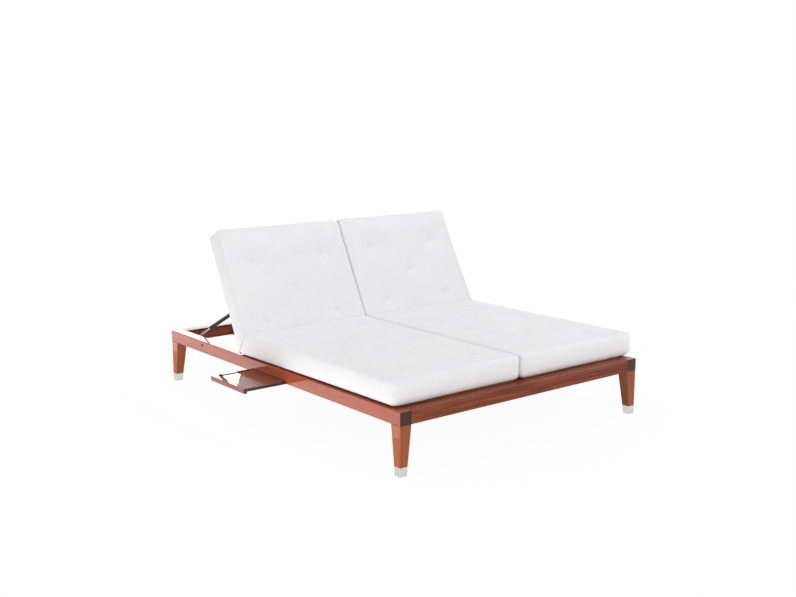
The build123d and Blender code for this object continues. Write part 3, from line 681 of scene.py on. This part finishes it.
def sew_seams(piece):
    """Press the seams of the border strip into the cover, all round but for the flat face at the crease."""
    shape = bmesh.new()
    shape.from_mesh(piece.data)
    for height in SEAM_HEIGHTS:
        for lift in (-SEAM_HALF, 0, SEAM_HALF):
            bmesh.ops.bisect_plane(
                shape, geom=shape.verts[:] + shape.edges[:] + shape.faces[:], dist=1e-6,
                plane_co=(0, 0, height + lift), plane_no=(0, 0, 1),
            )
    bmesh.ops.recalc_face_normals(shape, faces=shape.faces)
    shape.normal_update()
    for vertex in shape.verts:
        upright = abs(vertex.normal.z) < SEAM_STEEPEST and crease_depth(vertex.co) > CREASE_FACE
        if upright and any(abs(vertex.co.z - height) < LEVEL for height in SEAM_HEIGHTS):
            vertex.co -= vertex.normal * SEAM_DEPTH
    shape.to_mesh(piece.data)
    shape.free()


def set_down(piece, length, place, reaches, press):
    """Put a cushion in its place and bring its outer side to its reaches, at the crease and at the far end.

    Its inner side is pressed flat, by the given depth, against the other cushion."""
    shares = [smoothly(vertex.co.y / length) for vertex in piece.data.vertices]
    piece.data.transform(place)
    for vertex, share in zip(piece.data.vertices, shares):
        reach = reaches[0] + (reaches[1] - reaches[0]) * share
        outward = 1 if reach > 0 else -1
        depth = (vertex.co.x * outward - CUSHION_INNER) / (CUSHION_OUTER - CUSHION_INNER)
        from_middle = (abs(reach) + press) * depth - press
        vertex.co.x = outward * max(from_middle, MIDDLE_GAP)


def cushion(name, build, shape, tufts, place, finish):
    """One padded cushion, simulated in its own frame and then put in its place."""
    length = build["length"]
    piece = bpy.data.objects.new(name, block(length, shape["corners"], build["rims"]))
    scene.collection.objects.link(piece)
    even_cells(piece, build["cell"])
    shape_foam(piece, length)
    pins = draw_in(piece, tufts)
    swell(piece, pins, length)
    smooth(piece, 1)
    smooth(piece, 8, length)
    fit(piece, length)
    piece.vertex_groups.clear()
    halve_cells(piece)
    cut_crease(piece)
    sew_tufts(piece, tufts)
    sew_seams(piece)
    set_down(piece, length, place, shape["reaches"], build["press"])
    piece.data.materials.clear()
    piece.data.materials.append(finish)
    for face in piece.data.polygons:
        face.use_smooth = True
    return piece


# A cushion's length, radii of its top and bottom rims, size of its first cells, and depth of its inner press

SEAT_BUILD = {"length": 1.2725, "rims": (0.012, 0.022), "cell": 0.011, "press": 0.001}
BACK_BUILD = {"length": 0.659, "rims": (0.007, 0.016), "cell": 0.009, "press": 0.004}

# Radii of its upright corners, its outer side's places at the crease and at the far end, its tufts' shift

SEAT_SHAPES = {
    "left": {"corners": (0.026, 0.034), "reaches": (-0.766, -0.754), "tuft_shift": Vector((0, 0))},
    "right": {"corners": (0.010, 0.018), "reaches": (0.768, 0.784), "tuft_shift": Vector((0, 0.022))},
}
BACK_SHAPES = {
    "left": {"corners": (0.030, 0.048), "reaches": (-0.770, -0.763), "tuft_shift": Vector((-0.012, -0.012))},
    "right": {"corners": (0.026, 0.012), "reaches": (0.783, 0.767), "tuft_shift": Vector((0, 0))},
}

# The seat's rows of tufts are counted from its foot end, the back's from the crease

seat_tufts = [Vector((tuft.x, SEAT_LENGTH - tuft.y)) for tuft in tuft_rows(0.165, 0.2198, 5)]
back_tufts = tuft_rows(0.150, 0.161, 3)

for side, sign in SIDES.items():
    hinge = Vector((sign * CUSHION_MIDDLE, HINGE_Y, HINGE_Z))
    lift = Matrix.Translation((0, 0, FLOOR_OVER_HINGE))
    shape = SEAT_SHAPES[side]
    tufts = [tuft + shape["tuft_shift"] for tuft in seat_tufts]
    place = Matrix.Translation(hinge) @ Matrix.Rotation(pi, 4, "Z") @ lift
    seat = cushion(f"{side}_seat_padding", SEAT_BUILD, shape, tufts, place, seat_cloth)
    shape = BACK_SHAPES[side]
    tufts = [tuft + shape["tuft_shift"] for tuft in back_tufts]
    place = Matrix.Translation(hinge) @ Matrix.Rotation(LEAN, 4, "X") @ lift
    back = cushion(f"{side}_back_padding", BACK_BUILD, shape, tufts, place, back_cloth)
    for piece, node_name in ((seat, f"{side}_seat_cushion"), (back, f"{side}_back_cushion")):
        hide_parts(node_name)
    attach(seat, "frame")
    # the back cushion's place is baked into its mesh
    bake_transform(back)


# Floor and backdrop

FLOOR_HALF = 30
FLOOR_COLOUR = (0.90, 0.90, 0.90)
FLOOR_GLOW = 0.955
GLOW_NEAR = 1.2
GLOW_FAR = 3.2
SKY_LIGHT = 0.60
SKY_SEEN = 1.0


def glowing(name, colour, glow):
    """Matt white that shows nearly white to the camera and in reflections, and still takes a shadow."""
    paper = Shader(bpy.data.materials.new(name))
    paper.set(Roughness=0.9, Specular_IOR_Level=0.0, Base_Color=(*colour, 1))
    light = paper.add("ShaderNodeEmission")
    light.inputs["Strength"].default_value = 1
    spread = paper.add("ShaderNodeVectorMath", operation="LENGTH")
    paper.join(paper.coordinates(), spread.inputs[0])
    away = paper.add("ShaderNodeMapRange")
    paper.join(spread.outputs["Value"], away.inputs["Value"])
    away.inputs["From Min"].default_value = GLOW_NEAR
    away.inputs["From Max"].default_value = GLOW_FAR
    away.inputs["To Min"].default_value = glow
    mix = paper.add("ShaderNodeMixShader")
    paper.join(paper.math("MULTIPLY", paper.seen(), away.outputs["Result"]), mix.inputs["Fac"])
    paper.join(paper.surface.outputs["BSDF"], mix.inputs[1])
    paper.join(light.outputs["Emission"], mix.inputs[2])
    output = next(node for node in paper.tree.nodes if node.bl_idname == "ShaderNodeOutputMaterial")
    paper.join(mix.outputs["Shader"], output.inputs["Surface"])
    return paper.owner


ground = bmesh.new()
bmesh.ops.create_grid(ground, x_segments=1, y_segments=1, size=FLOOR_HALF)
floor = bpy.data.objects.new("floor", bpy.data.meshes.new("floor"))
ground.to_mesh(floor.data)
ground.free()
scene.collection.objects.link(floor)
floor.data.materials.append(glowing("floor_paper", FLOOR_COLOUR, FLOOR_GLOW))

scene.world = bpy.data.worlds.new("studio")
sky = Shader(scene.world, "Background")
level = sky.add("ShaderNodeMapRange")
sky.join(sky.seen(), level.inputs["Value"])
level.inputs["To Min"].default_value = SKY_LIGHT
level.inputs["To Max"].default_value = SKY_SEEN
sky.join(level.outputs["Result"], sky.surface.inputs["Strength"])
sky.set(Color=(1, 1, 1, 1))


# Studio light

def softbox(name, place, target, width, height, power):
    """A large soft lamp that faces its target."""
    lamp = bpy.data.objects.new(name, bpy.data.lights.new(name, "AREA"))
    lamp.data.shape = "RECTANGLE"
    lamp.data.size = width
    lamp.data.size_y = height
    lamp.data.energy = power
    turn = (Vector(target) - Vector(place)).to_track_quat("-Z", "Y")
    lamp.matrix_world = Matrix.Translation(place) @ turn.to_matrix().to_4x4()
    lamp.visible_camera = False
    scene.collection.objects.link(lamp)


softbox("left_wall", (-2.6, 0.1, 0.80), (0, 0.1, 0.42), width=4.0, height=1.25, power=18.5)
softbox("left_strip", (-1.08, 0.25, 0.08), (0, 0.25, 0.09), width=4.2, height=0.16, power=3.8)
softbox("fill_front", (1.2, -5.4, 2.2), (0, 0, 0.3), width=4.2, height=2.6, power=99)
softbox("overhead", (0.4, 0.2, 4.6), (0, 0, 0.3), width=3.6, height=3.6, power=67)
softbox("rear_window", (3.6, 6.4, 1.9), (0, 0.4, 0.3), width=7.0, height=2.4, power=150)

scene.view_settings.view_transform = "Standard"
